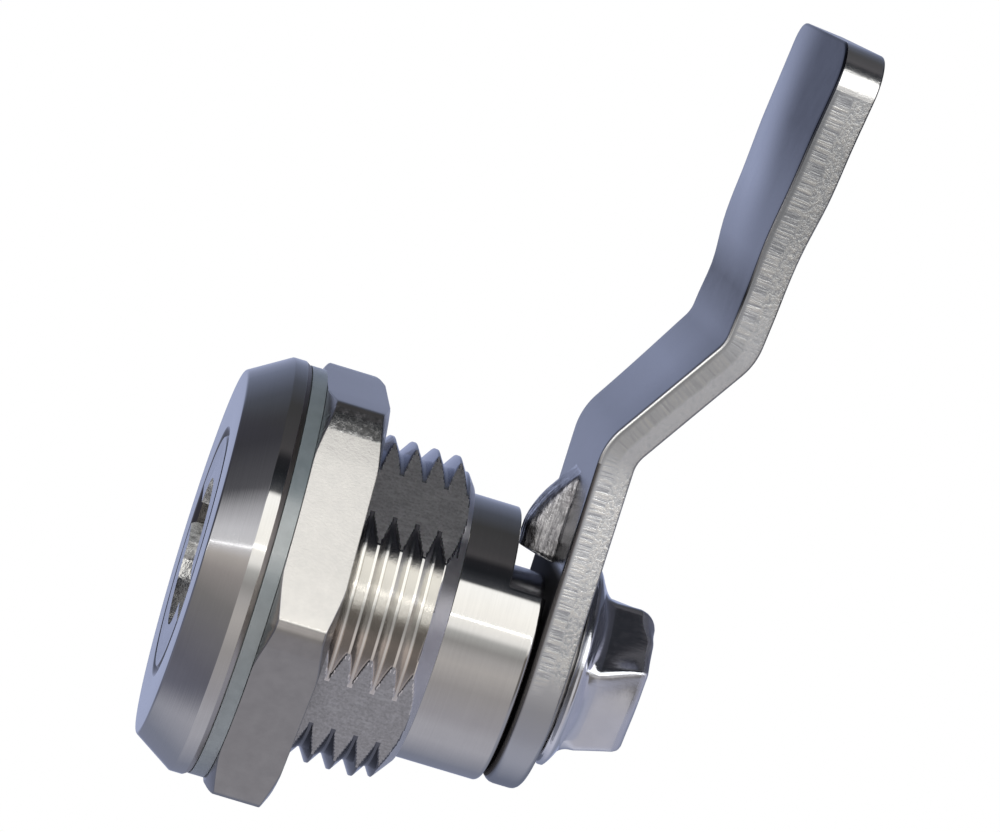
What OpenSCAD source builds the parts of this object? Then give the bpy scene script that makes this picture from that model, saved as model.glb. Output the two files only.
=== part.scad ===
// Quarter-turn cam latch. Millimetres, +Z up, the barrel axis runs along Y,
// head toward -Y, origin on the axis at the underside of the head.

/* [Head] */
// width of the head outside the thread
head_lip = 3; // [2.6:0.1:3.6]
// radial width of the bevel round the front face
bevel_w = 1.7; // [1.4:0.1:2.4]
// height of the head above its seat
head_t = 3.95; // [3.6:0.05:4.6]
// height of the straight rim behind the bevel
rim_h = 0.9; // [0.5:0.1:1.4]
// radial step from the rim in to the underside of the head
seat_round = 0.3; // [0.2:0.05:0.5]
// thickness of the flat gasket ring
gasket_t = 1; // [0.8:0.1:1.6]

/* [Barrel] */
// outside diameter of the barrel thread
thread_d = 22; // [21.8:0.1:22.2]
// pitch of the barrel thread
pitch = 1.5; // [1.3:0.1:1.6]
// depth of one thread groove
thread_depth = 0.86; // [0.7:0.02:0.92]
// distance across the four flats
flats = 20; // [19.6:0.2:20.6]
// rear end of the threaded length
thread_end = 12.4; // [12:0.2:12.8]
// diameter at the foot of the thread end chamfer
thread_end_d = 18.8; // [18.2:0.2:19.4]
// diameter of the plain neck
neck_d = 17.9; // [17.5:0.1:18.1]
// rear end of the neck
neck_end = 18.1; // [17.8:0.05:18.3]
// depth of the stop notch in the neck end
notch_depth = 2.3; // [2.2:0.05:2.6]
// half angle of the stop notch either side of the arm
notch_half = 63.8; // [63.8:0.2:66]

/* [Nut] */
// distance across the flats of the nut
nut_af = 27; // [26:0.5:27.5]
// thickness of the nut
nut_t = 4.2; // [3.4:0.2:5]
// angle of the nut vertex nearest +X, below the horizontal
nut_turn = 8; // [0:1:30]

/* [Turning insert] */
// diameter of the insert head
insert_d = 16.2; // [15.8:0.1:16.4]
// depth of the insert head behind the front face
insert_t = 6.4; // [6.2:0.1:7]
// chamfer round the insert and round its seat
insert_chamfer = 0.35; // [0.2:0.05:0.45]
// radial running clearance of the insert in the housing
run_gap = 0.05; // [0.03:0.01:0.08]
// shaft diameter
shaft_d = 10.5; // [10.4:0.1:11]
// width of the square end that carries the arm
square_w = 7.4; // [7:0.1:7.4]
// diameter of the round pocket in the front face
pocket_d = 9.7; // [9:0.1:10]
// depth of the pocket and of the coin slot
pocket_depth = 4.6; // [3.6:0.2:4.8]
// width of the coin slot
slot_w = 2.8; // [2.2:0.1:3.4]
// turn of the coin slot about the barrel axis
slot_turn = 22; // [0:1:45]
// diameter of the sealing ring section
ring_w = 1.2; // [1:0.1:1.3]

/* [Arm] */
// turn of the arm about the barrel axis as stored, towards +X
arm_turn = 5.5; // [0:0.5:8]
// thickness of the arm
arm_t = 2.6; // [2.4:0.1:2.7]
// width of the arm
arm_w = 17.6; // [17:0.2:18.4]
// gap between the neck end and the arm
arm_gap = 0.25; // [0.2:0.05:0.4]
// height where the first bend starts
bend_1 = 14.2; // [13.6:0.2:15]
// height where the second bend ends
bend_2 = 24.5; // [23.6:0.1:26]
// lean of the middle length
lean_mid = 33; // [28:1:34]
// lean of the upper length
lean_top = 5; // [0:1:7]
// inside radius of both bends
bend_r = 2.2; // [1.6:0.2:3]
// height of the arm tip
arm_tip = 44.4; // [42:0.2:46]
// corner radius of the arm tip
tip_r = 2.2; // [1.4:0.2:3]
// clearance round the square end in the arm
square_gap = 0.06; // [0.04:0.02:0.1]
// width of the stop lug
lug_w = 4.2; // [3.6:0.2:4.2]
// height of the sheared lower end of the stop lug
lug_z = 6.5; // [6.4:0.1:6.8]
// reach of the stop lug in front of the arm
lug_h = 2.3; // [2:0.05:2.35]

/* [Screw] */
// flange diameter of the screw
flange_d = 13.5; // [13:0.1:14]
// height of the screw head with its flange
screw_k = 5; // [4.6:0.1:5.4]
// distance across the flats of the screw head
screw_af = 9.8; // [9.6:0.2:10]
// angle of the screw head vertex nearest +X, below the horizontal
screw_turn = 1; // [0:1:30]
// thread diameter of the screw
screw_d = 6; // [5.8:0.1:6.2]
// length of the screw under its flange
screw_l = 13; // [11:0.5:14]
// thickness of the locking washer
washer_t = 0.45; // [0.4:0.05:0.6]

/* [Hidden] */
round_fn = 96;
thread_r = thread_d / 2;
head_r = thread_r + head_lip;
face_r = head_r - bevel_w;
root_r = thread_r - thread_depth;
thread_start = 1.95;
relief_r = root_r - 0.1;
neck_r = neck_d / 2;
seat_y = insert_t - head_t;
insert_r = insert_d / 2;
cup_r = insert_r + run_gap;
shaft_r = shaft_d / 2;
bore_r = shaft_r + run_gap;
notch_y = neck_end - notch_depth;
arm_y = neck_end + arm_gap;
arm_rear = arm_y + arm_t;
square_end = arm_rear - 0.3;
square_start = arm_y - 0.05;
washer_y = arm_rear + 0.02;
flange_y = washer_y + washer_t + 0.02;
screw_tip = flange_y - screw_l;
hole_end = screw_tip - 1;
ring_y = seat_y - 2.2;
nut_y = gasket_t + 0.03;
gland_r = insert_r - ring_w - 0.02;
vertex_r = nut_af / 2 / cos(30);
nut_chamfer_r = nut_af / 2 + 0.6;

// Solids of revolution are drawn as radius against height and laid along Y.
module along_y() {
    rotate([-90, 0, 0]) children();
}

module disc_y(y, r, h) {
    translate([0, y, 0]) along_y() cylinder(r = r, h = h, $fn = round_fn);
}

// Height where groove k of the thread begins, counted from the seat of the head.
function groove_y(k) = thread_start + k * pitch;
groove_n = floor((thread_end - 1.2 - thread_start + 0.01) / pitch);
function groove(k) = [
    [thread_r, groove_y(k) + 0.12],
    [root_r + 0.06, groove_y(k) + pitch / 2 - 0.1],
    [root_r, groove_y(k) + pitch / 2],
    [root_r + 0.06, groove_y(k) + pitch / 2 + 0.1],
    [thread_r, groove_y(k) + pitch - 0.12]];

barrel_outline = concat(
    [[0, -0.5], [relief_r, -0.5], [relief_r, thread_start - 0.9],
     [thread_r, thread_start - 0.1]],
    [for (k = [0 : groove_n - 1]) for (p = groove(k)) p],
    [[thread_r, thread_end - 1.2], [thread_end_d / 2, thread_end], [0, thread_end]]);

module threaded_barrel() {
    intersection() {
        along_y() rotate_extrude($fn = round_fn) polygon(barrel_outline);
        rotate([0, 45, 0])
            translate([-flats / 2, -0.5, -flats / 2]) cube([flats, thread_end + 0.5, flats]);
    }
}

module head_body() {
    front = -head_t;
    bevel_y = -(rim_h + 0.45);
    along_y() rotate_extrude($fn = round_fn) polygon([
        [0, front],
        [face_r - 0.3, front],
        [face_r - 0.08, front + 0.08],
        [face_r + 0.05, front + 0.3],
        [head_r - 0.12, bevel_y],
        [head_r, bevel_y + 0.25],
        [head_r, -0.45],
        [head_r - 0.1, -0.18],
        [head_r - seat_round, 0],
        [0, 0]]);
}

module neck_body() {
    along_y() rotate_extrude($fn = round_fn) polygon([
        [0, -0.5],
        [neck_r, -0.5],
        [neck_r, neck_end - 0.4],
        [neck_r - 0.4, neck_end],
        [0, neck_end]]);
}

// Quarter-turn notch: the lug of the arm runs in it and stops on its ends.
module stop_notch() {
    reach = neck_r + 3;
    low = reach / tan(notch_half);
    translate([0, notch_y, 0]) rotate([-90, 0, 0])
        linear_extrude(height = notch_depth + 1)
            polygon([[0, 0], [reach, -low], [reach, -reach - 2],
                     [-reach, -reach - 2], [-reach, -low]]);
}

module housing() {
    color([0.72, 0.71, 0.70]) difference() {
        union() {
            head_body();
            threaded_barrel();
            neck_body();
        }
        disc_y(-head_t - 1, cup_r, insert_t + 1);
        translate([0, -head_t, 0]) along_y() translate([0, 0, -0.01])
            cylinder(r1 = cup_r + insert_chamfer + 0.01, r2 = cup_r, h = insert_chamfer + 0.02,
                     $fn = round_fn);
        disc_y(0, bore_r, neck_end + 1);
        stop_notch();
    }
}

module head_gasket() {
    inner = thread_r + 0.1;
    color([0.42, 0.46, 0.46])
        along_y() rotate_extrude($fn = round_fn) polygon([
            [inner, 0.02],
            [head_r - 0.28, 0.02],
            [head_r - 0.18, 0.12],
            [head_r - 0.18, gasket_t - 0.1],
            [head_r - 0.28, gasket_t],
            [inner, gasket_t]]);
}

module panel_nut() {
    bore = thread_r + 0.06;
    cut = (vertex_r + 0.05 - nut_chamfer_r) * tan(24);
    color([0.78, 0.77, 0.75]) difference() {
        intersection() {
            translate([0, nut_y, 0]) along_y() rotate([0, 0, nut_turn])
                cylinder(r = vertex_r, h = nut_t, $fn = 6);
            along_y() rotate_extrude($fn = round_fn) polygon([
                [0, nut_y],
                [nut_chamfer_r, nut_y],
                [vertex_r + 0.05, nut_y + cut],
                [vertex_r + 0.05, nut_y + nut_t - cut],
                [nut_chamfer_r, nut_y + nut_t],
                [0, nut_y + nut_t]]);
        }
        disc_y(nut_y - 1, bore, nut_t + 2);
        translate([0, nut_y + nut_t - 0.5, 0]) along_y()
            cylinder(r1 = bore, r2 = bore + 0.6, h = 0.6, $fn = round_fn);
        translate([0, nut_y - 0.1, 0]) along_y()
            cylinder(r1 = bore + 0.6, r2 = bore, h = 0.6, $fn = round_fn);
    }
}

// Front recess: a round pocket crossed by a slot for the edge of a coin.
module front_recess() {
    disc_y(-head_t - 1, pocket_d / 2, pocket_depth + 1);
    rotate([0, slot_turn, 0])
        translate([-insert_r - 1, -head_t - 1, -slot_w / 2])
            cube([insert_d + 2, pocket_depth + 1 - 1.6, slot_w]);
}

module key_insert() {
    front = -head_t;
    color([0.66, 0.66, 0.68]) difference() {
        union() {
            along_y() rotate_extrude($fn = round_fn) polygon([
                [0, front],
                [insert_r - insert_chamfer, front],
                [insert_r, front + insert_chamfer],
                [insert_r, ring_y - ring_w / 2 - 0.05],
                [gland_r, ring_y - ring_w / 2 - 0.05],
                [gland_r, ring_y + ring_w / 2 + 0.05],
                [insert_r, ring_y + ring_w / 2 + 0.05],
                [insert_r, seat_y - 0.25],
                [insert_r - 0.2, seat_y - 0.05],
                [shaft_r, seat_y - 0.05],
                [shaft_r, square_start],
                [0, square_start]]);
            rotate([0, arm_turn, 0])
                translate([-square_w / 2, square_start - 1, -square_w / 2])
                    cube([square_w, square_end - square_start + 1, square_w]);
        }
        front_recess();
        disc_y(hole_end, screw_d / 2, square_end);
        translate([0, square_end - 0.5, 0]) along_y()
            cylinder(r1 = screw_d / 2, r2 = screw_d / 2 + 0.6, h = 0.6, $fn = round_fn);
    }
}

module insert_o_ring() {
    color([0.08, 0.08, 0.09]) along_y() rotate_extrude($fn = round_fn)
        translate([insert_r - ring_w / 2, ring_y])
            circle(d = ring_w - 0.02, $fn = 32);
}

// Side outline of the arm as heights and depths. Each bend is an arc.
r_in = bend_r;
r_out = bend_r + arm_t;
// The arc centre of the first bend lies behind the arm, of the second in front.
c1 = [arm_rear + r_in, bend_1];
function on1(r, a) = [c1[0] - r * cos(a), c1[1] + r * sin(a)];
mid_run = (bend_2 - bend_1 - (r_out + r_in) * sin(lean_mid) + r_in * sin(lean_top))
    / cos(lean_mid);
p1 = on1(r_out, lean_mid);
q1 = on1(r_in, lean_mid);
d_mid = [sin(lean_mid), cos(lean_mid)];
n_mid = [-cos(lean_mid), sin(lean_mid)];
p2 = p1 + mid_run * d_mid;
q2 = q1 + mid_run * d_mid;
c2 = p2 + r_in * n_mid;
function on2(r, a) = [c2[0] + r * cos(a), c2[1] - r * sin(a)];
p3 = on2(r_in, lean_top);
q3 = on2(r_out, lean_top);
top_run = (arm_tip + 2 - p3[1]) / cos(lean_top);
d_top = [sin(lean_top), cos(lean_top)];
arc_n = 10;

side_outline = concat(
    [[arm_y, -arm_w], [arm_y, bend_1]],
    [for (i = [1 : arc_n]) on1(r_out, lean_mid * i / arc_n)],
    [for (i = [0 : arc_n]) on2(r_in, lean_mid + (lean_top - lean_mid) * i / arc_n)],
    [p3 + top_run * d_top, q3 + top_run * d_top],
    [for (i = [0 : arc_n]) on2(r_out, lean_top + (lean_mid - lean_top) * i / arc_n)],
    [for (i = [0 : arc_n]) on1(r_in, lean_mid * (1 - i / arc_n))],
    [[arm_rear, -arm_w]]);

module arm_bent() {
    translate([arm_w, 0, 0]) rotate([0, -90, 0]) linear_extrude(height = 2 * arm_w)
        polygon([for (p = side_outline) [p[1], p[0]]]);
}

module arm_outline() {
    translate([0, arm_y - 5, 0]) rotate([-90, 0, 0]) {
        cylinder(r = arm_w / 2, h = 30, $fn = round_fn);
        translate([-arm_w / 2, -(arm_tip - tip_r), 0]) cube([arm_w, arm_tip - tip_r, 30]);
        translate([-arm_w / 2 + tip_r, -arm_tip, 0]) cube([arm_w - 2 * tip_r, arm_tip, 30]);
        for (s = [-1, 1])
            translate([s * (arm_w / 2 - tip_r), -(arm_tip - tip_r), 0])
                cylinder(r = tip_r, h = 30, $fn = 48);
    }
}

// Side outline of the lug, as height up the arm and reach in front of it.
function lug_side(share) = [
    [lug_z - 0.25, -0.3],
    [lug_z - 0.25, 0],
    [lug_z + 0.15, lug_h * share],
    [lug_z + 1.9, lug_h * share * 0.98],
    [lug_z + 2.9, lug_h * share * 0.87],
    [lug_z + 3.6, lug_h * share * 0.75],
    [lug_z + 4.76, lug_h * share * 0.41],
    [lug_z + 5.6, 0],
    [lug_z + 5.6, -0.3]];

module lug_slab(width, share) {
    translate([width / 2, arm_y, 0]) rotate([0, -90, 0]) linear_extrude(height = width)
        polygon([for (p = lug_side(share)) [p[0], -p[1]]]);
}

// The lug is sheared at its lower end and runs out up the arm; its front corners are rolled.
module stop_lug() {
    hull() {
        lug_slab(lug_w, 0.55);
        lug_slab(lug_w - 0.7, 0.85);
        lug_slab(lug_w - 1.7, 1);
    }
}

// Pocket left in the rear face where the lug was pressed out.
module lug_pocket() {
    half = lug_w / 2 - 0.25;
    hull() {
        translate([-half, arm_rear - 1.35, lug_z + 0.4]) cube([2 * half, 2, 1.3]);
        translate([-half, arm_rear, lug_z + 4.6]) cube([2 * half, 1, 0.2]);
    }
}

module cam_arm() {
    hole = square_w / 2 + square_gap;
    color([0.62, 0.63, 0.68]) rotate([0, arm_turn, 0]) difference() {
        union() {
            intersection() {
                arm_bent();
                arm_outline();
            }
            stop_lug();
        }
        translate([-hole, arm_y - 1, -hole]) cube([2 * hole, arm_t + 2, 2 * hole]);
        lug_pocket();
    }
}

module lock_washer() {
    color([0.55, 0.54, 0.53]) difference() {
        disc_y(washer_y, flange_d / 2 - 0.15, washer_t);
        disc_y(washer_y - 1, screw_d / 2 + 0.25, washer_t + 2);
    }
}

// Flange screw: dished flange, hexagon with a rounded crown, plain shank.
module cam_screw() {
    fr = flange_d / 2;
    hex_r = screw_af / 2 / cos(30);
    crown = flange_y + screw_k;
    color([0.70, 0.70, 0.73]) {
        along_y() rotate_extrude($fn = round_fn) polygon([
            [0, flange_y],
            [fr - 0.15, flange_y],
            [fr, flange_y + 0.15],
            [fr, flange_y + 0.5],
            [fr - 0.15, flange_y + 0.75],
            [hex_r + 0.1, flange_y + 1.45],
            [0, flange_y + 1.7]]);
        intersection() {
            translate([0, flange_y + 0.4, 0]) along_y() rotate([0, 0, screw_turn])
                cylinder(r = hex_r, h = screw_k - 0.4, $fn = 6);
            along_y() rotate_extrude($fn = round_fn) polygon([
                [0, flange_y],
                [hex_r + 0.2, flange_y],
                [hex_r + 0.2, crown - 1.55],
                [hex_r - 0.1, crown - 0.9],
                [hex_r - 0.5, crown - 0.4],
                [hex_r - 1.05, crown - 0.1],
                [hex_r - 1.7, crown],
                [0, crown]]);
        }
        translate([0, screw_tip, 0]) along_y() rotate_extrude($fn = round_fn) polygon([
            [0, 0],
            [screw_d / 2 - 0.6, 0],
            [screw_d / 2 - 0.05, 0.55],
            [screw_d / 2 - 0.05, screw_l + 0.1],
            [0, screw_l + 0.1]]);
    }
}

housing();
head_gasket();
panel_nut();
key_insert();
insert_o_ring();
cam_arm();
lock_washer();
cam_screw();
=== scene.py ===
"""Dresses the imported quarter-turn cam latch: housing, gasket, nut, insert, arm, washer and screw."""
import math

import bmesh
import bpy
from mathutils import Matrix, Vector


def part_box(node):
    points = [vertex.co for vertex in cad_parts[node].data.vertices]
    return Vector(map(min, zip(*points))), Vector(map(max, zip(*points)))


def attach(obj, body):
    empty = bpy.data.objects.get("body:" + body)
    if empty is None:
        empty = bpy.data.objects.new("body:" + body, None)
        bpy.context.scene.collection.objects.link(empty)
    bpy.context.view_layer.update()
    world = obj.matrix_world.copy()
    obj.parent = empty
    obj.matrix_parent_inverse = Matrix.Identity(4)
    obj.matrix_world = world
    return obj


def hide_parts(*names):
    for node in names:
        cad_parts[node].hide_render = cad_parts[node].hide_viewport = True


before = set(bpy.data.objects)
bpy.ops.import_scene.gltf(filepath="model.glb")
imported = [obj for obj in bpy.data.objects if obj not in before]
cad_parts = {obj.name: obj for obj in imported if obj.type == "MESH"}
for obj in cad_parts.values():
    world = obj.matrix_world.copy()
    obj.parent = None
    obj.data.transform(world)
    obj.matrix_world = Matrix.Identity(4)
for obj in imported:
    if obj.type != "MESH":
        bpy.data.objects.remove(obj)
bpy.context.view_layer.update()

MM = 0.001
TAU = 2 * math.pi


def node_reach(node, axis):
    """Lowest and highest value of a CAD node along one axis, in millimetres."""
    low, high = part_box(node)
    return low[axis] / MM, high[axis] / MM


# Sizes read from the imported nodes, in millimetres, Y along the barrel.
lug_front = node_reach("cam_arm", 1)[0]
head_front, barrel_end = node_reach("housing", 1)
head_r = node_reach("housing", 0)[1]
gasket_front, gasket_rear = node_reach("head_gasket", 1)
gasket_r = node_reach("head_gasket", 0)[1]
nut_front, nut_rear = node_reach("panel_nut", 1)
square_end = node_reach("key_insert", 1)[1]
insert_r = node_reach("key_insert", 0)[1]
washer_front, washer_rear = node_reach("lock_washer", 1)
washer_r = node_reach("lock_washer", 0)[1]
screw_tip, crown_y = node_reach("cam_screw", 1)
flange_r = node_reach("cam_screw", 0)[1]

# Sizes that the boxes don't show, in millimetres and radians.
arm_front = lug_front + 2.5
neck_end = barrel_end + 0.15
face_r = 12.3
seat_r = 13.76
cup_gap = 0.05
edge_chamfer = 0.35
thread_r = 11.0
pitch = 1.5
groove_depth = 0.86
crest_half = 0.055
root_start = 0.44
flank_share = root_start - crest_half
first_crest = 6.795
end_chamfer = 1.2
groove_r = thread_r - groove_depth - 0.1
flats_across = 19.84
flats_turn = math.radians(49)
relief_end = 1.05
thread_end = 12.4
thread_foot_r = 9.4
neck_r = 8.95
notch_floor = neck_end - 2.5
notch_half = math.radians(63.5)
shaft_r = 5.25
square_across = 7.4
pocket_r = 4.85
pocket_floor = head_front + 4.6
slot_floor = head_front + 3.0
slot_across = 2.8
slot_turn = math.radians(22)
insert_seat = 2.45
nut_across = 27.0
nut_turn = math.radians(-8.6)
nut_crease = math.radians(53.8)
arm_turn = math.radians(5.5)
arm_thick = 2.4
arm_half = 8.8
arm_tip = 44.4
bend_1 = 14.2
bend_2 = 24.5
lean_mid = math.radians(33)
lean_top = math.radians(5)
bend_in = 2.2
bend_out = bend_in + arm_thick
tip_round_near = 2.9
tip_round_far = 1.4
lug_low = 6.4
lug_high = 12.5
lug_half = 2.1
lug_reach = 2.28
skew = 0.9
hex_across = 9.8
hex_turn = math.radians(-1)
shank_r = 2.95


# Mesh helpers

def bow(start, middle, end, t):
    """Place at share t of a bow that leaves start and reaches end heading through middle."""
    return start * (1 - t) ** 2 + middle * 2 * t * (1 - t) + end * t ** 2


def soft_step(low, high, value):
    t = min(max((value - low) / (high - low), 0), 1)
    return t * t * (3 - 2 * t)


def rounded(points):
    """Outline of (radius, y, fillet) points with each fillet drawn as an arc."""
    steps = 5
    out = []
    for i, (r, y, fillet) in enumerate(points):
        if fillet <= 0 or i in (0, len(points) - 1):
            out.append((r, y))
            continue
        here = Vector((r, y))
        before = Vector(points[i - 1][:2]) - here
        after = Vector(points[i + 1][:2]) - here
        half = before.angle(after) / 2
        reach = min(fillet / math.tan(half), 0.48 * before.length, 0.48 * after.length)
        before.normalize()
        after.normalize()
        start = here + before * reach
        end = here + after * reach
        for k in range(steps + 1):
            out.append(tuple(bow(start, here, end, k / steps)))
    return out


def plain_rows(outline):
    """Rows of a plain turned shape, one for each outline point."""
    return [lambda a, r=r, y=y: (r, y) for r, y in outline]


def finish_mesh(bm, name, sharp=32):
    """Turns a bmesh into an object with clean normals and hard edges above an angle."""
    bmesh.ops.remove_doubles(bm, verts=bm.verts, dist=2e-7)
    bmesh.ops.dissolve_degenerate(bm, edges=bm.edges, dist=1e-7)
    bmesh.ops.recalc_face_normals(bm, faces=bm.faces)
    mesh = bpy.data.meshes.new(name)
    bm.to_mesh(mesh)
    bm.free()
    mesh.shade_smooth()
    mesh.set_sharp_from_angle(angle=math.radians(sharp))
    obj = bpy.data.objects.new(name, mesh)
    bpy.context.scene.collection.objects.link(obj)
    return obj


def turned_skin(name, rows, angles, closed=False, sharp=32):
    """Skin through rows of rings about the barrel axis. A row gives (radius, y) at each angle."""
    bm = bmesh.new()
    grid = []
    for row in rows:
        ring = []
        for a in angles:
            r, y = row(a)
            ring.append(bm.verts.new((r * math.cos(a) * MM, y * MM, r * math.sin(a) * MM)))
        grid.append(ring)
    pairs = list(zip(grid, grid[1:]))
    if closed:
        pairs.append((grid[-1], grid[0]))
    for low, high in pairs:
        for i in range(len(angles) - 1):
            bm.faces.new((low[i], high[i], high[i + 1], low[i + 1]))
    return finish_mesh(bm, name, sharp)


def even_angles(count, extra=()):
    """Angles round the axis with some added where edges fall."""
    wanted = [TAU * i / count for i in range(count + 1)]
    wanted += [a % TAU for a in extra]
    out = []
    for a in sorted(wanted):
        if not out or a - out[-1] > 1e-5:
            out.append(a)
    out[-1] = TAU
    return out


def hexagon_r(a, across, turn, crisp):
    """Radius of a hexagon with softly rounded corners; a corner lies at turn."""
    total = 0.0
    for k in range(3):
        total += abs(math.cos(a - turn - TAU / 12 - k * TAU / 6)) ** crisp
    return across / 2 / total ** (1 / crisp)


def square_r(a, across, turn):
    """Radius of a square with one face at turn."""
    return across / 2 / max(abs(math.cos(a - turn)), abs(math.sin(a - turn)))


def bake_modifiers(obj):
    """Replaces an object's mesh by what its modifiers make of it."""
    graph = bpy.context.evaluated_depsgraph_get()
    mesh = bpy.data.meshes.new_from_object(obj.evaluated_get(graph))
    obj.modifiers.clear()
    obj.data = mesh


def cut_out(body, cutter):
    cut = body.modifiers.new("cut", "BOOLEAN")
    cut.operation = "DIFFERENCE"
    cut.solver = "EXACT"
    cut.object = cutter
    bake_modifiers(body)
    bpy.data.objects.remove(cutter)


# Housing

def groove_at(phase):
    """Depth of the thread at a share of the pitch counted from a crest."""
    off = min(phase % 1, 1 - phase % 1)
    if off < crest_half:
        return 0.0
    if off > root_start:
        return groove_depth + 0.02 * math.cos((off - 0.5) * 26)
    return groove_depth * (off - crest_half) / flank_share


def end_cone_r(y):
    """Radius of the cone between the thread and the neck."""
    return thread_foot_r + (thread_end - y) * (thread_r - thread_foot_r) / end_chamfer


def barrel_point(a, y, phase):
    """Point of the threaded barrel, cut by its flats and by both end chamfers."""
    y = min(max(y, relief_end), thread_end)
    start_r = groove_r + (y - relief_end) * 1.1
    return min(thread_r - groove_at(phase), square_r(a, flats_across, flats_turn), start_r, end_cone_r(y)), y


def thread_rows():
    """Rows that follow the right-handed thread from below the head to the barrel end."""
    flank = [flank_share * k / 8 for k in range(9)]
    phases = [-crest_half, 0.0, crest_half] + [crest_half + share for share in flank[1:]]
    phases += [0.5] + [1 - root_start + share for share in flank[:-1]]
    rows = []
    for turn in range(-5, 6):
        for p in phases:
            y0 = first_crest + (turn + p) * pitch
            rows.append(lambda a, y0=y0, p=p: barrel_point(a, y0 - pitch * a / TAU, p))
    return rows


def neck_rows():
    """Rows over the neck end, which drops to the notch floor either side of the arm."""
    step = math.radians(0.45)

    def share(a):
        off = abs(a - math.pi / 2) - notch_half
        return min(max(off / step + 0.5, 0), 1)

    def end(a):
        return notch_floor + (neck_end - notch_floor) * soft_step(0, 1, share(a))

    def edge(a):
        return 0.1 + 0.28 * share(a)

    rows = []
    for k in range(7):
        t = math.pi / 2 * k / 6
        rows.append(lambda a, down=1 - math.sin(t), inward=1 - math.cos(t):
                    (neck_r - edge(a) * inward, end(a) - edge(a) * down))
    bore_r = shaft_r + cup_gap
    return rows + [lambda a: (bore_r + 0.15, end(a)), lambda a: (bore_r, end(a) - 0.15)]


def build_housing():
    cup_r = insert_r + cup_gap
    mouth = rounded([
        (shaft_r + cup_gap, insert_seat, 0),
        (cup_r, insert_seat, 0),
        (cup_r, head_front + edge_chamfer, 0.05),
        (cup_r + edge_chamfer, head_front, 0.06),
        (face_r, head_front, 0.3),
        (head_r, -1.2, 0.22),
        (head_r, -0.36, 0.14),
        (seat_r, 0.0, 0.05),
        (groove_r, 0.0, 0),
        (groove_r, relief_end - 0.05, 0)])
    throat = rounded([
        (thread_foot_r, thread_end, 0),
        (neck_r + 0.1, thread_end, 0.05),
        (neck_r, thread_end + 0.1, 0.05),
        (neck_r, notch_floor - 0.5, 0)])
    flat_edge = math.acos(flats_across / 2 / thread_r)
    extra = []
    for k in range(4):
        centre = flats_turn + k * math.pi / 2
        extra += [centre - flat_edge, centre + flat_edge]
    for side in (-1, 1):
        for k in range(-3, 4):
            extra.append(math.pi / 2 + side * (notch_half + math.radians(0.09 * k)))
    rows = plain_rows(mouth) + thread_rows() + plain_rows(throat) + neck_rows()
    return turned_skin("housing_shell", rows, even_angles(240, extra), closed=True)


# Nut

def build_nut():
    """Hexagon whose corners are cut back by a cone at both ends."""
    bore = thread_r + 0.06
    cone_r = nut_across / 2 + 0.6
    slope = math.tan(math.radians(24))
    ease = 0.09

    def fall(a):
        """Each face falls off a little just before its upper corner."""
        along = (a - nut_turn) % (TAU / 6)
        whole = math.tan(TAU / 12) - math.tan(nut_crease - TAU / 12)
        reach = math.tan(along - TAU / 12) - math.tan(nut_crease - TAU / 12)
        after = whole * (1 - along / 0.03)
        return nut_across / 2 * max(reach, after, 0) * 0.075

    def end_rows(end, way):
        """Rows from the end face out to the side of the hexagon. way is +1 or -1 along Y."""
        def side(a):
            r = hexagon_r(a, nut_across, nut_turn, 60) - fall(a)
            return r, max(r - cone_r, 0) * slope

        def row(share):
            def at(a):
                r, near = side(a)
                back = bow(max(near - ease * slope, 0), near, near + ease, share)
                return bow(r - ease, r, r, share), end + way * back
            return at

        start = [lambda a: (nut_across / 2 - 0.5, end), lambda a: (min(cone_r, side(a)[0] - 0.1), end)]
        return start + [row(k / 4) for k in range(5)]

    front = end_rows(nut_front, 1)
    rear = end_rows(nut_rear, -1)
    hole = rounded([
        (nut_across / 2 - 0.6, nut_rear, 0),
        (bore + 0.6, nut_rear, 0.1),
        (bore, nut_rear - 0.6, 0.1),
        (bore, nut_front + 0.6, 0.1),
        (bore + 0.6, nut_front, 0.1),
        (nut_across / 2 - 0.6, nut_front, 0)])
    near_corner = (-0.03, -0.02, -0.01, 0, 0.01, 0.02, 0.03, nut_crease - 0.004, nut_crease + 0.004)
    corners = [nut_turn + k * TAU / 6 + d for k in range(6) for d in near_corner]
    rows = front + rear[::-1] + plain_rows(hole)
    return turned_skin("nut_body", rows, even_angles(240, corners), closed=True, sharp=24)


# Gasket, washer and screw

def build_gasket():
    inner = thread_r + 0.1
    outline = rounded([
        (inner, (gasket_front + gasket_rear) / 2, 0),
        (inner, gasket_front, 0),
        (gasket_r, gasket_front, 0),
        (gasket_r, gasket_rear, 0),
        (inner, gasket_rear, 0.05)])
    return turned_skin("gasket_ring", plain_rows(outline), even_angles(160), closed=True)


def build_washer():
    """Thin washer with a slightly ragged punched rim."""
    inner = shank_r + 0.3

    def rim(y, inset):
        def row(a):
            ragged = 0.03 * math.sin(7 * a + 1) + 0.02 * math.sin(17 * a) + 0.015 * math.sin(31 * a + 2)
            return washer_r - 0.07 + ragged - inset, y
        return row

    rows = [lambda a: (inner, washer_front),
            rim(washer_front, 0.1), rim(washer_front + 0.06, 0.0),
            rim(washer_rear - 0.12, 0.0), rim(washer_rear, 0.14),
            lambda a: (inner, washer_rear)]
    return turned_skin("washer_ring", rows, even_angles(160), closed=True)


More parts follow.
